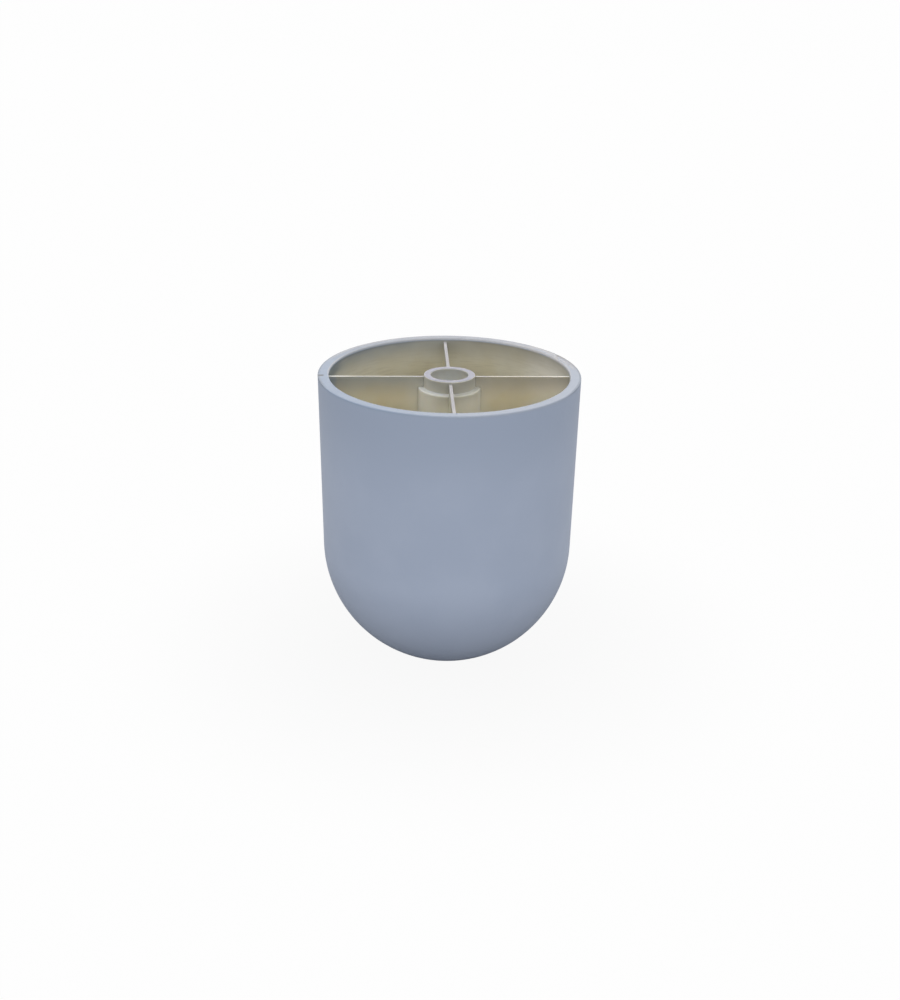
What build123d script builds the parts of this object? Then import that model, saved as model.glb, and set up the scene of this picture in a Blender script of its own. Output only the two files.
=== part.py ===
from build123d import *
import os
from math import radians, tan

os.makedirs("parts", exist_ok=True)

# A round-bottomed foot for a plant pot, standing open side up, in millimetres and degrees.
# Z runs up the foot's axis, the origin is the middle of the flat underneath,
# and the ribs lie along X and Y, with -Y as the front.

# Cup: its outer form, from the rim down to the flat that it stands on
foot_height = 68.0
rim_radius = 30.0
side_draft = 0.85
bend_height = 26.2
base_flat_radius = 12.5
rim_outer_round = 0.25
rim_inner_round = 0.3

# Cup: its wall and floor
wall_thickness = 2.5
floor_thickness = 2.8
floor_inset = 0.4

# Ribs: thin upright webs between the boss and the wall, thinnest along their tops
rib_drop = 0.9
rib_thickness = 0.7
rib_draft = 0.4
rib_names = ["rib_right", "rib_rear", "rib_left", "rib_front"]

# Boss: a collar tube on the floor, and a sleeve in it that stands proud as a short spigot
collar_radius = 7.2
collar_edge_round = 0.4
sleeve_radius = 5.9
sleeve_drop = 0.4
spigot_height = 2.9
spigot_foot_bead = 0.15
mouth_edge_round = 0.25

# Bore of the sleeve: a plain mouth, the insert's seat, and clearance for the bolt below it
mouth_radius = 4.3
mouth_depth = 5.0
bolt_clearance_radius = 3.3

# Threaded insert for an M6 bolt, its hole drawn at the thread's inner diameter
insert_radius = 3.85
insert_length = 12.0
thread_radius = 2.5
thread_countersink = 0.5
thread_countersink_angle = 90
insert_waist_length = 2.0
insert_waist_depth = 0.5
insert_end_chamfer = 0.4
knurl_count = 24
knurl_groove_radius = 0.3

# Gap left at each glued or pressed joint
joint_gap = 0.01

# Places that follow from the sizes above
bend_radius = rim_radius - (foot_height - bend_height) * tan(radians(side_draft))
rim_inner_radius = rim_radius - wall_thickness
inner_bend_radius = bend_radius - wall_thickness
floor_flat_radius = base_flat_radius - floor_inset
rib_top = foot_height - rib_drop
sleeve_top = foot_height - sleeve_drop
collar_top = sleeve_top - spigot_height
insert_seat_radius = insert_radius + joint_gap
insert_top = sleeve_top - mouth_depth
insert_bottom = insert_top - insert_length

# A solid placed by the middle of its lower end
upright = (Align.CENTER, Align.CENTER, Align.MIN)


def cup_section(top_radius, side_end_radius, flat_radius, flat_height, mode=Mode.ADD):
    """Half section of a cup: a leaning side, a round bend and a flat middle."""
    with BuildLine() as outline:
        side = Line((top_radius, foot_height), (side_end_radius, bend_height))
        bend = TangentArc(side @ 1, (flat_radius, flat_height), tangent=side % 1)
        Polyline(bend @ 1, (0, flat_height), (0, foot_height), side @ 0)
    make_face(outline.edges(), mode=mode)


def top_circles(part):
    """The circular edges at the highest level of a part, the smallest first."""
    return part.edges().filter_by(GeomType.CIRCLE).group_by(Axis.Z)[-1].sort_by(SortBy.RADIUS)


# Cup: the moulding that shows from outside, painted outside and bare inside
with BuildPart() as outer_cup:
    with BuildSketch(Plane.XZ):
        cup_section(rim_radius, bend_radius, base_flat_radius, 0)
        cup_section(rim_inner_radius, inner_bend_radius, floor_flat_radius, floor_thickness, Mode.SUBTRACT)
    revolve(axis=Axis.Z)
    fillet(top_circles(outer_cup)[-1], radius=rim_outer_round)
    fillet(top_circles(outer_cup)[0], radius=rim_inner_round)
outer_cup.part.label = "outer_cup"
export_step(outer_cup.part, "parts/outer_cup.step")

# Collar: the boss's outer tube, standing on the floor of the cup, with a sloped bead round the spigot's foot
with BuildPart() as boss_collar:
    with BuildSketch(Plane.XY.offset(floor_thickness)):
        Circle(collar_radius)
    extrude(amount=collar_top - floor_thickness)
    fillet(top_circles(boss_collar), radius=collar_edge_round)
    with Locations(Plane.XY.offset(collar_top)):
        Cone(sleeve_radius + spigot_foot_bead, sleeve_radius, spigot_foot_bead, align=upright)
        Hole(sleeve_radius + joint_gap)
boss_collar.part.label = "boss_collar"
export_step(boss_collar.part, "parts/boss_collar.step")

# Sleeve: the boss's inner tube, whose end shows above the collar
with BuildPart() as boss_sleeve:
    with BuildSketch(Plane.XY.offset(floor_thickness)):
        Circle(sleeve_radius)
    extrude(amount=sleeve_top - floor_thickness)
    with Locations(Plane.XY.offset(sleeve_top)):
        Hole(mouth_radius, depth=mouth_depth)
        Hole(insert_seat_radius, depth=mouth_depth + insert_length)
        Hole(bolt_clearance_radius)
    fillet(top_circles(boss_sleeve), radius=mouth_edge_round)
boss_sleeve.part.label = "boss_sleeve"
export_step(boss_sleeve.part, "parts/boss_sleeve.step")

# Threaded insert: two knurled bands with a waist between them, seated below the mouth
with BuildPart() as threaded_insert:
    with BuildSketch(Plane.XY.offset(insert_bottom)):
        Circle(insert_radius)
    extrude(amount=insert_length)
    chamfer(threaded_insert.edges().group_by(Axis.Z)[0], length=insert_end_chamfer)
    with BuildSketch(Plane.XY.offset(insert_bottom)):
        with PolarLocations(insert_radius, knurl_count):
            Circle(knurl_groove_radius)
    extrude(amount=insert_length, mode=Mode.SUBTRACT)
    with BuildSketch(Plane.XY.offset(insert_bottom + (insert_length - insert_waist_length) / 2)):
        Circle(insert_radius)
        Circle(insert_radius - insert_waist_depth, mode=Mode.SUBTRACT)
    extrude(amount=insert_waist_length, mode=Mode.SUBTRACT)
    with Locations(Plane.XY.offset(insert_top)):
        CounterSinkHole(
            thread_radius,
            thread_radius + thread_countersink,
            counter_sink_angle=thread_countersink_angle,
        )
threaded_insert.part.label = "threaded_insert"
export_step(threaded_insert.part, "parts/threaded_insert.step")

# Room for the ribs: the cup's hollow less the boss, held off both by the joint gap
with BuildPart() as rib_room:
    with BuildSketch(Plane.XZ):
        cup_section(
            rim_inner_radius - joint_gap,
            inner_bend_radius - joint_gap,
            floor_flat_radius - joint_gap,
            floor_thickness,
        )
    revolve(axis=Axis.Z)
    with BuildSketch():
        Circle(collar_radius + joint_gap)
    extrude(amount=collar_top + joint_gap, mode=Mode.SUBTRACT)
    with Locations(Plane.XY.offset(collar_top + joint_gap)):
        Cone(
            sleeve_radius + spigot_foot_bead + joint_gap,
            sleeve_radius + joint_gap,
            spigot_foot_bead,
            align=upright,
            mode=Mode.SUBTRACT,
        )
    with BuildSketch():
        Circle(sleeve_radius + joint_gap)
    extrude(amount=foot_height, mode=Mode.SUBTRACT)

# Ribs: one tapered web for each quarter turn, trimmed to that room
for turn, rib_name in enumerate(rib_names):
    heading = turn * 360 / len(rib_names)
    with BuildPart() as rib:
        with BuildSketch(Plane.XY.offset(rib_top).rotated((0, 0, heading))):
            Rectangle(rim_radius, rib_thickness, align=(Align.MIN, Align.CENTER))
        extrude(amount=-rib_top, taper=-rib_draft)
        add(rib_room.part, mode=Mode.INTERSECT)
    rib.part.label = rib_name
    export_step(rib.part, f"parts/{rib_name}.step")
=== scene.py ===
import math
from functools import cached_property

import bmesh
import bpy
from mathutils import Matrix, Vector


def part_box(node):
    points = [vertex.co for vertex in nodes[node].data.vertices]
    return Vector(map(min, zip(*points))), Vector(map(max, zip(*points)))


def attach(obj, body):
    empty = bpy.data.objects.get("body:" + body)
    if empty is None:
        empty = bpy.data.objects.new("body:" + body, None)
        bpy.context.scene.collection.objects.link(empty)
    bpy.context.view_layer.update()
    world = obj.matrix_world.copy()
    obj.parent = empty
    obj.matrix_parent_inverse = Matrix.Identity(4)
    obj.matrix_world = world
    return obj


MM = 0.001

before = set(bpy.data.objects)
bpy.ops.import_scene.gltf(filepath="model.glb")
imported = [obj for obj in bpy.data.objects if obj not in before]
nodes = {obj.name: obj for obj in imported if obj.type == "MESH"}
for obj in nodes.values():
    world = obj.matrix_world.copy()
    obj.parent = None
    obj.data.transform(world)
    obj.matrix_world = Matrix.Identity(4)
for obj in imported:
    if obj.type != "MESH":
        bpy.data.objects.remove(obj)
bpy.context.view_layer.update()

_, cup_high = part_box("outer_cup")
insert_low, insert_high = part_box("threaded_insert")

RIM_HEIGHT = cup_high.z
RIM_RADIUS = cup_high.x
BORE_RADIUS = 4.3 * MM

# The photograph's camera, placed round the middle of the rim
CAMERA_DISTANCE = 320.85 * MM
CAMERA_AZIMUTH = math.radians(2.6)
CAMERA_ELEVATION = math.radians(17.79)
AIM_BELOW_LEVEL = math.radians(22.99)
AIM_TO_THE_RIGHT = math.radians(0.11)
CAMERA_ROLL = math.radians(0.95)
SENSOR = 36.0
LENS = 50.4
NEAREST_SEEN = 10 * MM

# World light: its strength at the horizon, and from this height of the view direction upwards
SKY_LOW = 1.23
SKY_HIGH = 0.85
SKY_HIGH_FROM = 0.8

# Soft boxes: place and target in metres, width and height in metres, power in watts
SOFTBOXES = {
    "front_left_softbox": ((-0.62, -0.85, 0.14), (0, 0, 0.04), 1.6, 0.26, 1.75),
    "front_right_softbox": ((0.62, -0.85, 0.14), (0, 0, 0.04), 1.6, 0.26, 1.62),
    "rear_softbox": ((0.25, 1.3, 0.55), (0, 0, 0.06), 2.4, 0.8, 6.5),
}

# Colours, linear
PAINT = (0.350, 0.408, 0.528)
PAINT_PALE = (0.369, 0.427, 0.547)
PAINT_SHADED_HIGH = (0.314, 0.370, 0.482)
PAINT_RIM = (0.325, 0.366, 0.450)
PAINT_RIM_LEFT = (0.260, 0.323, 0.435)
PAINT_RIM_SHADE_REAR = (0.314, 0.328, 0.375)
PAINT_SHADE = (0.20, 0.24, 0.31)
PAINT_HIGHLIGHT = (0.41, 0.42, 0.45)
PAINT_WORN = (0.42, 0.41, 0.42)
PAINT_CHIPPED = (0.20, 0.18, 0.18)
CREAM = (0.76, 0.73, 0.60)
CREAM_PALE = (0.82, 0.80, 0.70)
CREAM_COOL = (0.72, 0.77, 0.80)
CREAM_HIGHLIGHT = (0.93, 0.90, 0.80)
CREAM_LIT_FAR_DOWN = (0.86, 0.82, 0.70)
CREAM_WARM = (0.71, 0.65, 0.46)
CREAM_SHADED = (0.38, 0.34, 0.25)
CREAM_LIT = (0.90, 0.88, 0.84)
STEP_HIGHLIGHT = (0.74, 0.76, 0.78)
STEP_HIGHLIGHT_DIM = (0.48, 0.48, 0.44)
SHADE_GREY = (0.245, 0.245, 0.225)
SHADE_LEFT = (0.205, 0.225, 0.235)
SHADE_LEFT_PALE = (0.245, 0.258, 0.248)
SHADE_RIGHT = (0.22, 0.21, 0.175)
SHADE_RIGHT_PALE = (0.242, 0.230, 0.195)
SHADE_UNDER_LIP = (0.15, 0.17, 0.19)
SHADE_LEFT_WALL = (0.11, 0.145, 0.175)
BLUE_GREY = (0.25, 0.30, 0.36)
MIST_SETTLED = (0.31, 0.31, 0.38)
GRIME = (0.10, 0.11, 0.14)
BRASS = (0.72, 0.55, 0.27)
BRASS_DULL = (0.50, 0.37, 0.18)
FLOOR_PAPER = (0.265, 0.265, 0.265)
FLOOR_PAPER_PALE = (0.285, 0.285, 0.285)
WHITE = (1, 1, 1)

# The Mix node's sockets by number, because those for numbers and colours share their names
MIX_SOCKETS = {"FLOAT": (2, 3, 0), "RGBA": (6, 7, 2)}

# Detail of noise: the number of finer layers in it
COARSE = 1
MEDIUM = 2
FINE = 3
FINEST = 4
RIM_NOISE_STRETCH = 10

# In all pairs from here on, a layer is absent at the first value and full at the second
FAR_LEFT = (-4 * MM, -24 * MM)
FAR_RIGHT = (15 * MM, 26 * MM)


def make_camera():
    rim_centre = Vector((0, 0, RIM_HEIGHT))
    back = Vector((
        -math.sin(CAMERA_AZIMUTH) * math.cos(CAMERA_ELEVATION),
        -math.cos(CAMERA_AZIMUTH) * math.cos(CAMERA_ELEVATION),
        math.sin(CAMERA_ELEVATION),
    ))
    heading = CAMERA_AZIMUTH + AIM_TO_THE_RIGHT
    forward = Vector((
        math.sin(heading) * math.cos(AIM_BELOW_LEVEL),
        math.cos(heading) * math.cos(AIM_BELOW_LEVEL),
        -math.sin(AIM_BELOW_LEVEL),
    ))
    level_right = forward.cross(Vector((0, 0, 1))).normalized()
    level_up = level_right.cross(forward)
    right = level_right * math.cos(CAMERA_ROLL) + level_up * math.sin(CAMERA_ROLL)
    up = right.cross(forward)
    data = bpy.data.cameras.new("camera")
    data.sensor_width = SENSOR
    data.lens = LENS
    data.clip_start = NEAREST_SEEN
    camera = bpy.data.objects.new("camera", data)
    bpy.context.scene.collection.objects.link(camera)
    turn = Matrix((right, up, -forward)).transposed().to_4x4()
    camera.matrix_world = Matrix.Translation(rim_centre + back * CAMERA_DISTANCE) @ turn
    bpy.context.scene.camera = camera


class Nodes:
    """Adds shader nodes to one node tree and links them by socket name."""

    def __init__(self, tree):
        self.tree = tree

    def add(self, kind, settings=None, **values):
        node = self.tree.nodes.new(kind)
        for key, value in (settings or {}).items():
            setattr(node, key, value)
        for key, value in values.items():
            self.feed(node.inputs[key.replace("_", " ")], value)
        return node

    def feed(self, socket, value):
        if isinstance(value, bpy.types.NodeSocket):
            self.tree.links.new(value, socket)
        elif isinstance(value, tuple) and len(value) == 3 and socket.type == "RGBA":
            socket.default_value = (*value, 1)
        else:
            socket.default_value = value

    def math(self, operation, *values, clamp=False):
        node = self.add("ShaderNodeMath", {"operation": operation, "use_clamp": clamp})
        for socket, value in zip(node.inputs, values):
            self.feed(socket, value)
        return node.outputs["Value"]

    def times(self, product, *others):
        """The product of one or more numbers."""
        for other in others:
            product = self.math("MULTIPLY", product, other)
        return product

    def largest(self, value, *others):
        for other in others:
            value = self.math("MAXIMUM", value, other)
        return value

    def mixed(self, kind, share, first, second):
        node = self.add("ShaderNodeMix", {"data_type": kind}, Factor=share)
        first_socket, second_socket, result = MIX_SOCKETS[kind]
        self.feed(node.inputs[first_socket], first)
        self.feed(node.inputs[second_socket], second)
        return node.outputs[result]

    def mix(self, share, first, second):
        """Two colours mixed by a share that varies over the surface."""
        return self.mixed("RGBA", share, first, second)

    def blend(self, share, first, second):
        """Two numbers mixed by a share that varies over the surface."""
        return self.mixed("FLOAT", share, first, second)

    def over(self, base, colour, *shares):
        """A base with a colour laid over it, as strongly as the shares together allow."""
        return self.mix(self.times(*shares), base, colour)

    def ramp(self, value, ends):
        """0 where value is at the first end, 1 where it is at the second, smooth between them."""
        node = self.add("ShaderNodeMapRange", {"interpolation_type": "SMOOTHSTEP"}, Value=value)
        node.inputs["From Min"].default_value, node.inputs["From Max"].default_value = ends
        return node.outputs["Result"]

    def within(self, value, rise, fall):
        """1 between two ramps, the first of which rises and the second falls."""
        return self.times(self.ramp(value, rise), self.ramp(value, fall))


class Material(Nodes):
    """The nodes of one new material, and the places on the foot that they go by."""

    def __init__(self, name):
        self.material = bpy.data.materials.new(name)
        self.material.use_nodes = True
        super().__init__(self.material.node_tree)
        self.shader = self.tree.nodes["Principled BSDF"]
        place = self.add("ShaderNodeTexCoord")
        self.object = place.outputs["Object"]
        self.normal = place.outputs["Normal"]
        self.x, self.y, self.z = self.add("ShaderNodeSeparateXYZ", Vector=self.object).outputs

    def give(self, *objects):
        for o in objects:
            o.data.materials.clear()
            o.data.materials.append(self.material)

    @cached_property
    def up(self):
        """How far the surface faces up: 1 on a level top, 0 on an upright side."""
        return self.add("ShaderNodeSeparateXYZ", Vector=self.normal).outputs["Z"]

    @cached_property
    def depth(self):
        """How far below the level of the rim."""
        return self.math("SUBTRACT", RIM_HEIGHT, self.z)

    @cached_property
    def radius(self):
        """How far from the foot's axis."""
        squares = self.math("ADD", self.times(self.x, self.x), self.times(self.y, self.y))
        return self.math("SQRT", squares)

    @cached_property
    def inward(self):
        """How far in from the rim's outer edge."""
        return self.math("SUBTRACT", RIM_RADIUS, self.radius)

    @cached_property
    def sideways(self):
        """How far to the left or right of the middle."""
        return self.math("ABSOLUTE", self.x)

    @cached_property
    def far_left(self):
        return self.ramp(self.x, FAR_LEFT)

    @cached_property
    def far_right(self):
        return self.ramp(self.x, FAR_RIGHT)

    @cached_property
    def facing_out(self):
        """Below 0 where the surface faces the middle of the foot, and above it elsewhere."""
        middle = self.add("ShaderNodeVectorMath", {"operation": "SUBTRACT"})
        self.feed(middle.inputs[0], self.object)
        middle.inputs[1].default_value = (0, 0, RIM_HEIGHT / 2)
        facing = self.add("ShaderNodeVectorMath", {"operation": "DOT_PRODUCT"})
        self.feed(facing.inputs[0], middle.outputs["Vector"])
        self.feed(facing.inputs[1], self.normal)
        return facing.outputs["Value"]

    def noise_at(self, place, size, detail):
        node = self.add("ShaderNodeTexNoise", Vector=place, Scale=1 / size, Detail=detail)
        return node.outputs["Fac"]

    def noise(self, size, detail=MEDIUM, stretch=(1, 1, 1)):
        """Cloudy noise whose blotches are about size across, in metres."""
        place = self.add("ShaderNodeMapping", Vector=self.object, Scale=stretch)
        return self.noise_at(place.outputs["Vector"], size, detail)

    def noise_along_rim(self, size):
        """Noise whose blotches are about size across and drawn out round the Z axis."""
        round_it = self.times(self.math("ARCTAN2", self.y, self.x), RIM_RADIUS / RIM_NOISE_STRETCH)
        place = self.add("ShaderNodeCombineXYZ", X=round_it, Y=self.radius, Z=self.z)
        return self.noise_at(place.outputs["Vector"], size, FINE)

    def bump(self, height, depth):
        return self.add("ShaderNodeBump", Height=height, Distance=depth).outputs["Normal"]


# Painted shade on the bare plastic, darkest at the level of the rim
LIT_FAR_RIGHT = 0.8
SHADE_REACH = 7.2 * MM
SHADE_REACH_IN_BORE = 3.8 * MM
SHADE_REACH_FAR_RIGHT = 0.75
SHADE_OVER_REACH = (1, 0)
SHADE_CLOUD = 5 * MM
SHADE_WEAKEST = 0.8
SHADE_FAR_LEFT = 1.12
SHADE_FAR_RIGHT = 0.88
OUT_OF_BORE = (BORE_RADIUS, BORE_RADIUS + 1 * MM)
LEDGE_FACING_UP = (0.3, 0.9)
LEDGE_TOWARDS_BOSS = (8 * MM, 7.5 * MM)
LEDGE_UNSHADED = 0.25
LEDGE_UNSHADED_ON_BOSS = 0.9

# Bare plastic: warmer patches, and a paler cream far down, painted light
PATCH = 6 * MM
PATCH_RANGE = (0.35, 0.65)
FAR_DOWN = (12 * MM, 24 * MM)
LEFT_TO_RIGHT = (-12 * MM, 12 * MM)


def shaded_from_rim(m, bare, shade_colour, spread):
    """Greyed towards the top by painted shade, more so on the far left and less on the far right.

    The spread says how much those two sides differ from the middle.
    """
    far_left = m.times(m.far_left, spread)
    far_right = m.times(m.far_right, spread)
    # Painted light: paler plastic on the far right
    bare = m.over(bare, CREAM_LIT, far_right, LIT_FAR_RIGHT)
    reach = m.blend(m.ramp(m.radius, OUT_OF_BORE), SHADE_REACH_IN_BORE, SHADE_REACH)
    reach = m.times(reach, m.blend(far_right, 1, SHADE_REACH_FAR_RIGHT))
    shade = m.ramp(m.math("DIVIDE", m.depth, reach), SHADE_OVER_REACH)
    shade = m.times(shade, m.blend(m.noise(SHADE_CLOUD), SHADE_WEAKEST, 1))
    strength = m.blend(far_right, m.blend(far_left, 1, SHADE_FAR_LEFT), SHADE_FAR_RIGHT)
    shade = m.math("MULTIPLY", shade, strength, clamp=True)
    # Up-facing ledges keep less of the painted shade, the ledges near the boss least
    unshaded = m.blend(m.ramp(m.radius, LEDGE_TOWARDS_BOSS), LEDGE_UNSHADED, LEDGE_UNSHADED_ON_BOSS)
    ledge = m.times(m.ramp(m.up, LEDGE_FACING_UP), unshaded)
    return m.over(bare, shade_colour, shade, m.math("SUBTRACT", 1, ledge))


# The cup's paint, which covers its outside and the whole of its rim
OUTSIDE_FACING = (-24 * MM, -18 * MM)
PAINTED_TO_DEPTH = (0.55 * MM, 0.4 * MM)
PAINT_CLOUD = 16 * MM
PAINT_CLOUD_RANGE = (0.35, 0.65)
# Painted shade: the paint darkens towards the rim over these heights
SHADED_HIGH_HEIGHT = (46 * MM, 66 * MM)


def cup_material():
    m = Material("cup_paint_and_bare_inside")
    outside = m.largest(m.ramp(m.facing_out, OUTSIDE_FACING), m.ramp(m.depth, PAINTED_TO_DEPTH))
    clouds = m.ramp(m.noise(PAINT_CLOUD, detail=FINEST), PAINT_CLOUD_RANGE)
    paint = m.mix(clouds, PAINT, PAINT_PALE)
    paint = m.over(paint, PAINT_SHADED_HIGH, m.ramp(m.z, SHADED_HIGH_HEIGHT))
    paint = m.over(paint, rim_paint(m), m.ramp(m.depth, RIM_TOP_DEPTH))
    paint = nicked(m, worn(m, paint))
    m.feed(m.shader.inputs["Base Color"], m.mix(outside, cup_inside(m), paint))
    finish_paint(m, outside)
    return m


# The rim's flat top: painted shade, bluer and darker on the left and greyer towards the rear
RIM_TOP_DEPTH = (0.6 * MM, 0.2 * MM)
RIM_LEFTWARDS = (8 * MM, -20 * MM)
RIM_REARWARDS = (0, 32 * MM)
# A painted shade line on its outer corner at both sides
OUTER_CORNER = (0.6 * MM, 0.3 * MM)
LINE_SIDEWAYS = (24 * MM, 28 * MM)
LINE_ON_RIGHT = (0, 10 * MM)
LINE_REARWARDS = (-13 * MM, -7 * MM)
# A painted highlight line on its inner corner, except in front
INNER_CORNER = (2.1 * MM, 2.3 * MM)
INNER_CORNER_DEPTH = (0.35 * MM, 0.2 * MM)
HIGHLIGHT_REARWARDS = (-8 * MM, 4 * MM)
# Its rear left: painted shade inside, and dusty outside
REAR_LEFT_X = (-3 * MM, -14 * MM)
REAR_LEFT_Y = (8 * MM, 16 * MM)
REAR_LEFT_INWARD = (0.6 * MM, 1.2 * MM)
REAR_LEFT_SHARE = 0.3
DUSTY_X = (-8 * MM, -14 * MM)
DUSTY_Y = (8 * MM, 14 * MM)
DUSTY_INWARD = (1.4 * MM, 0.6 * MM)
DUSTY_SHARE = 0.6


def rim_paint(m):
    paint = m.mix(m.ramp(m.x, RIM_LEFTWARDS), PAINT_RIM, PAINT_RIM_LEFT)
    paint = m.over(paint, PAINT_RIM_SHADE_REAR, m.ramp(m.y, RIM_REARWARDS))
    line = m.times(m.ramp(m.inward, OUTER_CORNER), m.ramp(m.sideways, LINE_SIDEWAYS))
    not_front_left = m.largest(m.ramp(m.x, LINE_ON_RIGHT), m.ramp(m.y, LINE_REARWARDS))
    paint = m.over(paint, PAINT_SHADE, line, not_front_left)
    highlight_line = m.times(m.ramp(m.inward, INNER_CORNER), m.ramp(m.y, HIGHLIGHT_REARWARDS))
    paint = m.over(paint, PAINT_HIGHLIGHT, highlight_line, m.ramp(m.depth, INNER_CORNER_DEPTH))
    rear_left = m.times(m.ramp(m.x, REAR_LEFT_X), m.ramp(m.y, REAR_LEFT_Y))
    paint = m.over(paint, PAINT_SHADE, rear_left, m.ramp(m.inward, REAR_LEFT_INWARD), REAR_LEFT_SHARE)
    dusty = m.times(m.ramp(m.x, DUSTY_X), m.ramp(m.y, DUSTY_Y))
    return m.over(paint, PAINT_WORN, dusty, m.ramp(m.inward, DUSTY_INWARD), DUSTY_SHARE)


# Wear at the rim's rear right: streaks along it, flecks in the worst place, chips on its outer corner
WORN_X = (10 * MM, 20 * MM)
WORN_Y = (-2 * MM, 6 * MM)
WORN_DEPTH = (1 * MM, 0.5 * MM)
STREAK = 0.35 * MM
STREAK_RANGE = (0.44, 0.56)
FLECKED_FROM_Y = (4 * MM, 6.5 * MM)
FLECKED_TO_Y = (15 * MM, 12 * MM)
FLECKED_INWARD = (2.2 * MM, 1.9 * MM)
FLECK = 0.4 * MM
FLECK_RANGE = (0.46, 0.58)
FLECK_BREAK = 0.7 * MM
FLECK_BREAK_RANGE = (0.4, 0.5)
FLECK_SHARE = 0.7
WORN_CORNER = (0.9 * MM, 0.5 * MM)
CHIP = 1.2 * MM
CHIP_RANGE = (0.38, 0.46)
CHIPPED_TO_Y = (20 * MM, 15 * MM)
CHIP_SHARE = 0.4
BARED_FROM_Y = (10 * MM, 11 * MM)
BARED_TO_Y = (14.2 * MM, 13.2 * MM)
RUBBED_FROM_Y = (1 * MM, 5 * MM)
RUBBED_TO_Y = (14 * MM, 12 * MM)
RUBBED_SHARE = 0.5


def worn(m, paint):
    on_rim = m.times(m.ramp(m.x, WORN_X), m.ramp(m.y, WORN_Y), m.ramp(m.depth, WORN_DEPTH))
    streaks = m.ramp(m.noise_along_rim(STREAK), STREAK_RANGE)
    paint = m.over(paint, PAINT_WORN, on_rim, streaks)

    flecked = m.times(m.within(m.y, FLECKED_FROM_Y, FLECKED_TO_Y), m.ramp(m.inward, FLECKED_INWARD))
    flecks = m.ramp(m.noise_along_rim(FLECK), FLECK_RANGE)
    flecks = m.times(flecks, m.ramp(m.noise(FLECK_BREAK), FLECK_BREAK_RANGE))
    paint = m.over(paint, PAINT_CHIPPED, on_rim, flecked, flecks, FLECK_SHARE)

    chips = m.times(m.ramp(m.noise_along_rim(CHIP), CHIP_RANGE), m.ramp(m.y, CHIPPED_TO_Y), CHIP_SHARE)
    bared = m.within(m.y, BARED_FROM_Y, BARED_TO_Y)
    rubbed = m.times(m.within(m.y, RUBBED_FROM_Y, RUBBED_TO_Y), RUBBED_SHARE)
    corner = m.ramp(m.inward, WORN_CORNER)
    return m.over(paint, PAINT_CHIPPED, on_rim, corner, m.largest(chips, bared, rubbed))


# A short dark nick across the rim's outer corner, beside the left rib, which narrows downwards
NICK_Y = -2.15 * MM
NICK_NARROWING = 0.6
NICK_HALF_WIDTH = (0.75 * MM, 0.45 * MM)
NICK_FROM_LEFT = (1.7 * MM, 1.1 * MM)
NICK_DEPTH = (1.2 * MM, 0.6 * MM)


def nicked(m, paint):
    aside = m.math("ABSOLUTE", m.math("SUBTRACT", m.y, NICK_Y))
    aside = m.math("ADD", aside, m.times(m.largest(m.depth, 0), NICK_NARROWING))
    from_left = m.math("ADD", m.x, RIM_RADIUS)
    nick = m.times(m.ramp(aside, NICK_HALF_WIDTH), m.ramp(from_left, NICK_FROM_LEFT))
    return m.over(paint, GRIME, nick, m.ramp(m.depth, NICK_DEPTH))


# Inside the cup: lines round it from the mould, painted shade under the lip, and darker painted shade
# on the far left
PATCH_SHARE = 0.5
CUP_SPREAD = 1
DRAWN_LINE = 0.5 * MM
DRAWN_LINE_RANGE = (0.45, 0.75)
DRAWN_LINE_SHARE = 0.22
LIP_DEPTH = (1.2 * MM, 0.3 * MM)
LIP_SHARE = 0.4
LIP_SHARE_FAR_LEFT = 1
LIP_KEPT_FAR_RIGHT = 0.7
SLATE_X = (-24.5 * MM, -26.5 * MM)
SLATE_DEPTH = (3.5 * MM, 2 * MM)
SLATE_SHARE = 0.7


def cup_inside(m):
    patches = m.ramp(m.noise(PATCH, detail=FINE), PATCH_RANGE)
    bare = m.over(CREAM, CREAM_WARM, patches, PATCH_SHARE)
    bare = m.over(bare, CREAM_LIT_FAR_DOWN, m.ramp(m.depth, FAR_DOWN))
    shade_colour = m.mix(m.ramp(m.x, LEFT_TO_RIGHT), SHADE_LEFT, SHADE_RIGHT)
    inside = shaded_from_rim(m, bare, shade_colour, CUP_SPREAD)
    drawn_lines = m.ramp(m.noise_along_rim(DRAWN_LINE), DRAWN_LINE_RANGE)
    inside = m.over(inside, CREAM_SHADED, drawn_lines, DRAWN_LINE_SHARE)
    lip = m.times(m.ramp(m.depth, LIP_DEPTH), m.blend(m.far_right, 1, LIP_KEPT_FAR_RIGHT))
    inside = m.over(inside, SHADE_UNDER_LIP, lip, m.blend(m.far_left, LIP_SHARE, LIP_SHARE_FAR_LEFT))
    return m.over(inside, SHADE_LEFT_WALL, m.ramp(m.x, SLATE_X), m.ramp(m.depth, SLATE_DEPTH), SLATE_SHARE)


# Surface of the cup: its roughness, and the fine relief of its paint
BARE_ROUGHNESS = 0.42
PAINT_ROUGHNESS = 0.36
ROUGHNESS_GRAIN = 2.5 * MM
ROUGHNESS_VARIES = 0.12
PEEL = 0.9 * MM
PEEL_DEPTH = 0.02 * MM


def finish_paint(m, outside):
    grain = m.times(m.noise(ROUGHNESS_GRAIN, detail=FINE), ROUGHNESS_VARIES)
    roughness = m.math("ADD", m.blend(outside, BARE_ROUGHNESS, PAINT_ROUGHNESS), grain)
    m.feed(m.shader.inputs["Roughness"], roughness)
    m.feed(m.shader.inputs["Normal"], m.bump(m.noise(PEEL), PEEL_DEPTH))


# Surface of the ribs and the boss, whose plastic lets a little light in
PLASTIC_ROUGHNESS = 0.36
PLASTIC_ROUGHNESS_MOST = 0.5
PLASTIC_LET_IN = 0.3
PLASTIC_LET_IN_DEPTH = 1.5 * MM
PLASTIC_LET_IN_COLOURS = (1.0, 0.8, 0.5)
PLASTIC_RELIEF = 1.5 * MM
PLASTIC_RELIEF_DEPTH = 0.015 * MM


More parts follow.
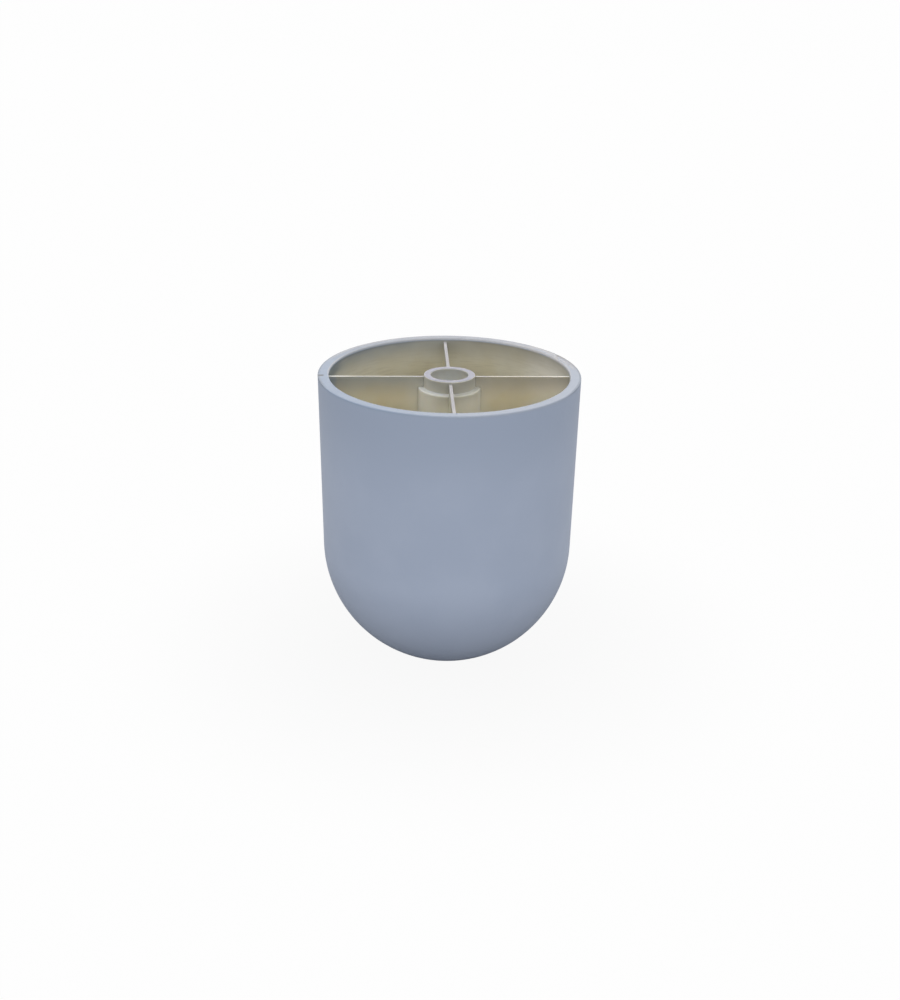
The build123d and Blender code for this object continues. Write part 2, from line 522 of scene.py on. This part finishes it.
def finish_plastic(m, colour):
    grain = m.noise(ROUGHNESS_GRAIN, detail=FINE)
    m.feed(m.shader.inputs["Base Color"], colour)
    m.feed(m.shader.inputs["Roughness"], m.blend(grain, PLASTIC_ROUGHNESS, PLASTIC_ROUGHNESS_MOST))
    m.shader.inputs["Subsurface Weight"].default_value = PLASTIC_LET_IN
    m.shader.inputs["Subsurface Radius"].default_value = PLASTIC_LET_IN_COLOURS
    m.shader.inputs["Subsurface Scale"].default_value = PLASTIC_LET_IN_DEPTH
    m.feed(m.shader.inputs["Normal"], m.bump(m.noise(PLASTIC_RELIEF), PLASTIC_RELIEF_DEPTH))


# Ribs: warm away from the boss, but for the far end of the left one, which is lighter and bluer grey
RIB_SPREAD = 0.6
WARM_RADIUS = (7.5 * MM, 11 * MM)
WARM_LEAST = 0.6
LEFT_END = (-18 * MM, -23 * MM)
WARM_LEFT_END = 0.3
BLUE_X = (-25.3 * MM, -26.3 * MM)
BLUE_DEPTH = (4.5 * MM, 2 * MM)
BLUE_SHARE = 0.6
# Their top edges: a painted highlight on the left and right ribs and, on all four, near the wall, with
# most settled paint on the front and rear ones
TOP_FACING_UP = (0.5, 0.95)
ON_SIDE_RIBS = (7 * MM, 10 * MM)
LEFT_RIB_TO_RIGHT = (-2 * MM, 2 * MM)
LIT_LEFT_RIB = 0.1
LIT_RIGHT_RIB = 0.2
LIT_NEAR_WALL_RADIUS = (20 * MM, 26 * MM)
LIT_NEAR_WALL_SHARE = 0.7
SETTLED_SHARE = 0.66
SETTLED_LEFT_RIB = 0.10
SETTLED_RIGHT_RIB = 0.04


def rib_material():
    m = Material("bare_plastic_ribs")
    patches = m.ramp(m.noise(PATCH, detail=FINE), PATCH_RANGE)
    warm = m.times(m.ramp(m.radius, WARM_RADIUS), m.blend(patches, WARM_LEAST, 1))
    bare = m.over(CREAM, CREAM_WARM, warm, m.blend(m.ramp(m.x, LEFT_END), 1, WARM_LEFT_END))
    bare = m.over(bare, CREAM_LIT_FAR_DOWN, m.ramp(m.depth, FAR_DOWN))
    shade_colour = m.mix(m.ramp(m.x, LEFT_TO_RIGHT), SHADE_LEFT_PALE, SHADE_RIGHT_PALE)
    bare = shaded_from_rim(m, bare, shade_colour, RIB_SPREAD)
    bare = m.over(bare, BLUE_GREY, m.ramp(m.x, BLUE_X), m.ramp(m.depth, BLUE_DEPTH), BLUE_SHARE)

    top = m.ramp(m.up, TOP_FACING_UP)
    on_side_ribs = m.ramp(m.sideways, ON_SIDE_RIBS)
    rightwards = m.ramp(m.x, LEFT_RIB_TO_RIGHT)
    lit = m.blend(rightwards, LIT_LEFT_RIB, LIT_RIGHT_RIB)
    bare = m.over(bare, CREAM_LIT, top, on_side_ribs, lit)
    bare = m.over(bare, CREAM_HIGHLIGHT, top, m.ramp(m.radius, LIT_NEAR_WALL_RADIUS), LIT_NEAR_WALL_SHARE)
    settled = m.blend(rightwards, SETTLED_LEFT_RIB, SETTLED_RIGHT_RIB)
    settled = m.blend(on_side_ribs, SETTLED_SHARE, settled)
    finish_plastic(m, m.over(bare, MIST_SETTLED, top, settled))
    return m


# Boss: cool round the bore and creamier on the right
BOSS_SPREAD = 0
BORE_EDGE = (BORE_RADIUS + 0.5 * MM, BORE_RADIUS)
BOSS_PATCH_RANGE = (0.35, 0.85)
CREAMIER_X = (0, 5 * MM)
CREAMIER_SHARE = 0.6
# Its upright sides: painted highlight beside the left and right ribs, and painted shade in front above
# the collar
UPRIGHT = (0.5, 0.1)
BOSS_OUTSIDE = (5.4 * MM, 5.9 * MM)
COLLAR_DEPTH = (2.9 * MM, 3.2 * MM)
BESIDE_LEFT_RIB = (-2 * MM, -6.5 * MM)
BESIDE_LEFT_SHARE_ON_SLEEVE = 0.12
BESIDE_LEFT_SHARE_ON_COLLAR = 0.4
BESIDE_RIGHT_RIB = (6.2 * MM, 7.0 * MM)
BESIDE_RIGHT_SHARE = 0.5
SHADED_IN_FRONT = (6 * MM, 2 * MM)
SHADED_IN_FRONT_SHARE = 0.15
# Its level faces: the collar's step with a painted highlight, whiter on the left and greyer on the
# right, and the sleeve's end with settled paint
STEP_FACING_UP = (0.4, 0.9)
STEP_DEPTH = (2.6 * MM, 2.9 * MM)
STEP_GREY_X = (0, 1.5 * MM)
STEP_SHARE = 0.6
END_DEPTH = (3 * MM, 1 * MM)


def boss_material():
    m = Material("bare_plastic_boss")
    bare = m.mix(m.ramp(m.radius, BORE_EDGE), CREAM_PALE, CREAM_COOL)
    bare = m.over(bare, CREAM, m.ramp(m.noise(PATCH, detail=FINE), BOSS_PATCH_RANGE))
    bare = m.over(bare, CREAM, m.ramp(m.x, CREAMIER_X), CREAMIER_SHARE)
    bare = shaded_from_rim(m, bare, SHADE_GREY, BOSS_SPREAD)

    upright = m.times(m.ramp(m.up, UPRIGHT), m.ramp(m.radius, BOSS_OUTSIDE))
    on_collar = m.ramp(m.depth, COLLAR_DEPTH)
    left_share = m.blend(on_collar, BESIDE_LEFT_SHARE_ON_SLEEVE, BESIDE_LEFT_SHARE_ON_COLLAR)
    beside_left = m.times(m.ramp(m.x, BESIDE_LEFT_RIB), left_share)
    beside_right = m.times(m.ramp(m.x, BESIDE_RIGHT_RIB), BESIDE_RIGHT_SHARE)
    bare = m.over(bare, CREAM_HIGHLIGHT, upright, m.largest(beside_left, beside_right))
    shaded_in_front = m.times(m.ramp(m.sideways, SHADED_IN_FRONT), m.math("SUBTRACT", 1, on_collar))
    bare = m.over(bare, SHADE_RIGHT, upright, shaded_in_front, SHADED_IN_FRONT_SHARE)

    step_colour = m.mix(m.ramp(m.x, STEP_GREY_X), STEP_HIGHLIGHT, STEP_HIGHLIGHT_DIM)
    step = m.times(m.ramp(m.up, STEP_FACING_UP), m.ramp(m.depth, STEP_DEPTH))
    bare = m.over(bare, step_colour, step, STEP_SHARE)
    end = m.times(m.ramp(m.up, TOP_FACING_UP), m.ramp(m.depth, END_DEPTH))
    finish_plastic(m, m.over(bare, MIST_SETTLED, end))
    return m


# Insert: brass that is dull in patches, with fine marks round it from turning
TARNISH = 2 * MM
TARNISH_RANGE = (0.4, 0.7)
BRASS_ROUGHNESS = 0.25
BRASS_ROUGHNESS_DULL = 0.45
TURNED = 0.25 * MM
TURNED_STRETCH = (1, 1, 3)
TURNED_DEPTH = 0.01 * MM


def brass_material():
    m = Material("insert_brass")
    tarnish = m.ramp(m.noise(TARNISH, detail=FINEST), TARNISH_RANGE)
    turned = m.noise(TURNED, detail=COARSE, stretch=TURNED_STRETCH)
    m.feed(m.shader.inputs["Base Color"], m.mix(tarnish, BRASS, BRASS_DULL))
    m.shader.inputs["Metallic"].default_value = 1.0
    m.feed(m.shader.inputs["Roughness"], m.blend(tarnish, BRASS_ROUGHNESS, BRASS_ROUGHNESS_DULL))
    m.feed(m.shader.inputs["Normal"], m.bump(turned, TURNED_DEPTH))
    return m


# Thread of the insert: its ridge stands in the hole by the crest and is sunk a little into the wall
THREAD_RADIUS = 2.5 * MM
THREAD_CREST = 0.28 * MM
THREAD_PITCH = 1.0 * MM
THREAD_SUNK = 0.03 * MM
THREAD_STEPS = 48
THREAD_HALF_FOOT_SHARE = 0.42
THREAD_LEAST_CREST_SHARE = 0.02
TURNS_LEFT_OFF = 2


def make_thread():
    """The ridge of the insert's thread: a triangle swept up a helix on the wall of its hole."""
    start = insert_low.z + THREAD_PITCH
    turns = int((insert_high.z - insert_low.z) / THREAD_PITCH) - TURNS_LEFT_OFF
    steps = turns * THREAD_STEPS
    half_foot = THREAD_PITCH * THREAD_HALF_FOOT_SHARE
    root = THREAD_RADIUS + THREAD_SUNK
    form = bmesh.new()
    rings = []
    for i in range(steps + 1):
        angle = 2 * math.pi * i / THREAD_STEPS
        z = start + THREAD_PITCH * i / THREAD_STEPS
        run_out = min(1, i / THREAD_STEPS, (steps - i) / THREAD_STEPS)
        crest = THREAD_RADIUS - THREAD_CREST * max(run_out, THREAD_LEAST_CREST_SHARE)
        rings.append([
            form.verts.new((r * math.cos(angle), r * math.sin(angle), z + dz))
            for r, dz in ((root, -half_foot), (crest, 0), (root, half_foot))
        ])
    for lower, upper in zip(rings, rings[1:]):
        for j in range(3):
            k = (j + 1) % 3
            form.faces.new((lower[j], lower[k], upper[k], upper[j]))
    form.faces.new(rings[0][::-1])
    form.faces.new(rings[-1])
    bmesh.ops.recalc_face_normals(form, faces=form.faces)
    thread = make_object("insert_thread", form)
    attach(thread, "root")
    return thread


def make_object(name, form):
    """A new object from a bmesh, which is freed."""
    mesh = bpy.data.meshes.new(name)
    form.to_mesh(mesh)
    form.free()
    made = bpy.data.objects.new(name, mesh)
    bpy.context.scene.collection.objects.link(made)
    return made


# Floor: how much of its white the camera and mirroring surfaces see, far away and near the foot
FLOOR_RADIUS = 6.0
FLOOR_SEGMENTS = 96
FLOOR_GRAIN = 3 * MM
NEAR_FOOT = (90 * MM, 20 * MM)
WHITENESS = 0.985
WHITENESS_NEAR_FOOT = 0.93
MIRRORED_WHITENESS = 0.3
MIRRORED_WHITENESS_NEAR_FOOT = 0


def make_floor():
    """A wide pale floor that looks white to the camera but for the foot's soft shadow."""
    form = bmesh.new()
    bmesh.ops.create_circle(form, cap_ends=True, segments=FLOOR_SEGMENTS, radius=FLOOR_RADIUS)
    floor = make_object("floor", form)
    m = Material("floor_white")
    paper_colour = m.mix(m.noise(FLOOR_GRAIN), FLOOR_PAPER, FLOOR_PAPER_PALE)
    paper = m.add("ShaderNodeBsdfDiffuse", Color=paper_colour)
    glow = m.add("ShaderNodeEmission", Color=WHITE, Strength=1.0)
    path = m.add("ShaderNodeLightPath").outputs
    near = m.ramp(m.radius, NEAR_FOOT)
    to_camera = m.times(path["Is Camera Ray"], m.blend(near, WHITENESS, WHITENESS_NEAR_FOOT))
    mirrored = m.largest(path["Is Glossy Ray"], path["Is Transmission Ray"])
    mirrored = m.times(mirrored, m.blend(near, MIRRORED_WHITENESS, MIRRORED_WHITENESS_NEAR_FOOT))
    both = m.add("ShaderNodeMixShader")
    m.feed(both.inputs[0], m.largest(to_camera, mirrored))
    m.feed(both.inputs[1], paper.outputs["BSDF"])
    m.feed(both.inputs[2], glow.outputs["Emission"])
    m.feed(m.tree.nodes["Material Output"].inputs["Surface"], both.outputs["Shader"])
    m.give(floor)


def make_world():
    """Soft light from all round, stronger near the horizon, in front of a white background."""
    world = bpy.data.worlds.new("studio")
    bpy.context.scene.world = world
    world.use_nodes = True
    m = Nodes(world.node_tree)
    direction = m.add("ShaderNodeTexCoord").outputs["Generated"]
    height = m.add("ShaderNodeSeparateXYZ", Vector=direction).outputs["Z"]
    fade = m.add("ShaderNodeMapRange", Value=height, To_Min=SKY_LOW, To_Max=SKY_HIGH)
    m.feed(fade.inputs["From Max"], SKY_HIGH_FROM)
    light = m.tree.nodes["Background"]
    m.feed(light.inputs["Color"], WHITE)
    m.feed(light.inputs["Strength"], fade.outputs["Result"])
    white = m.add("ShaderNodeBackground", Color=WHITE, Strength=1.0)
    path = m.add("ShaderNodeLightPath").outputs
    seen = m.largest(path["Is Camera Ray"], path["Is Glossy Ray"], path["Is Transmission Ray"])
    both = m.add("ShaderNodeMixShader")
    m.feed(both.inputs[0], seen)
    m.feed(both.inputs[1], light.outputs["Background"])
    m.feed(both.inputs[2], white.outputs["Background"])
    m.feed(m.tree.nodes["World Output"].inputs["Surface"], both.outputs["Shader"])


def make_light(name, place, target, width, height, power):
    data = bpy.data.lights.new(name, "AREA")
    data.shape = "RECTANGLE"
    data.size = width
    data.size_y = height
    data.energy = power
    light = bpy.data.objects.new(name, data)
    light.location = place
    light.rotation_euler = (Vector(target) - Vector(place)).to_track_quat("-Z", "Y").to_euler()
    bpy.context.scene.collection.objects.link(light)


make_camera()
make_world()
make_floor()
for name, settings in SOFTBOXES.items():
    make_light(name, *settings)

cup_material().give(nodes["outer_cup"])
rib_material().give(*(nodes[name] for name in ("rib_front", "rib_rear", "rib_left", "rib_right")))
boss_material().give(nodes["boss_collar"], nodes["boss_sleeve"])
brass_material().give(nodes["threaded_insert"], make_thread())

bpy.context.scene.view_settings.view_transform = "Standard"
